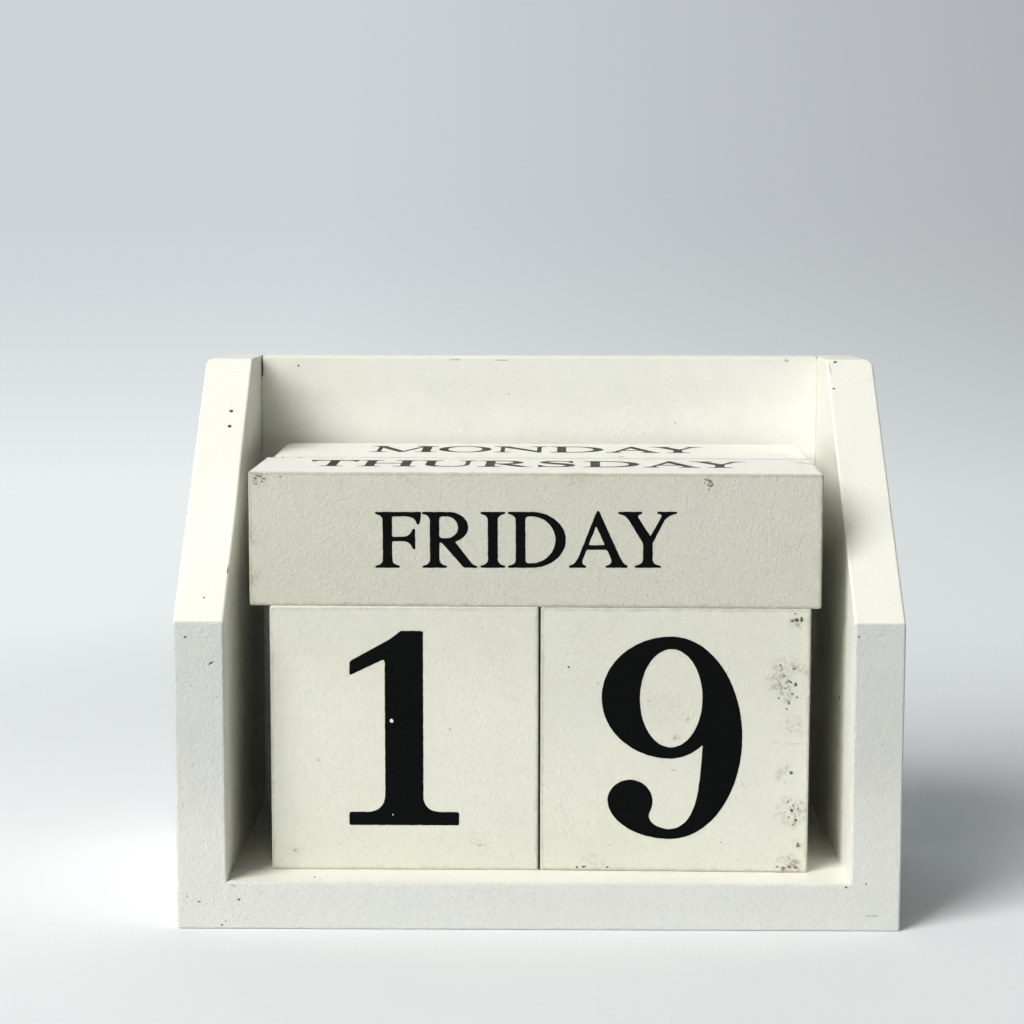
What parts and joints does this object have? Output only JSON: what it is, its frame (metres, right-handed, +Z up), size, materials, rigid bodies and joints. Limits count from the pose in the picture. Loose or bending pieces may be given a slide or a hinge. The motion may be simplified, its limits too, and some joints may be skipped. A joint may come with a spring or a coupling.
{
  "type": "perpetual block calendar",
  "caption": "Open-fronted painted board holder with sloping sides, loose number cubes side by side and square weekday bars lying on them.",
  "frame": {"origin": "middle of the holder's underside", "axes": "+X to the viewer's right across the front, +Y from the open front to the back board, +Z up"},
  "size_m": [0.1334, 0.072, 0.1028],
  "materials": {
    "holder_paint": "matt off-white paint on fibreboard, fine orange-peel texture",
    "block_paint": "matt off-white paint on wood blocks, worn and marked at the edges",
    "painted_filler": "smooth wood filler under the same off-white paint",
    "brad_steel": "plain drawn steel wire",
    "black_ink": "matt black printed figures and letters"
  },
  "bodies": {
    "holder": {"left_side_board": "holder_paint", "right_side_board": "holder_paint", "floor_board": "holder_paint", "back_board": "holder_paint", "left_floor_brads": "brad_steel", "right_floor_brads": "brad_steel", "left_back_brads": "brad_steel", "right_back_brads": "brad_steel", "back_floor_brads": "brad_steel", "left_floor_filler": "painted_filler", "right_floor_filler": "painted_filler", "left_back_filler": "painted_filler", "right_back_filler": "painted_filler", "back_floor_filler": "painted_filler"},
    "tens_block": {"tens_cube": "block_paint"},
    "units_block": {"units_cube": "block_paint"},
    "front_bar": {"front_day_bar": "block_paint"},
    "rear_bar": {"rear_day_bar": "block_paint"}
  },
  "joints": [
    {"name": "tens_cube_pull", "type": "slide", "parent": "holder", "child": "tens_block", "axis": [0, -1, 0], "range_m": [0, 0.06]},
    {"name": "units_cube_pull", "type": "slide", "parent": "holder", "child": "units_block", "axis": [0, -1, 0], "range_m": [0, 0.06]},
    {"name": "front_bar_lift", "type": "slide", "parent": "holder", "child": "front_bar", "axis": [0, 0, 1], "range_m": [0, 0.046]},
    {"name": "rear_bar_lift", "type": "slide", "parent": "holder", "child": "rear_bar", "axis": [0, 0, 1], "range_m": [0, 0.046]}
  ]
}
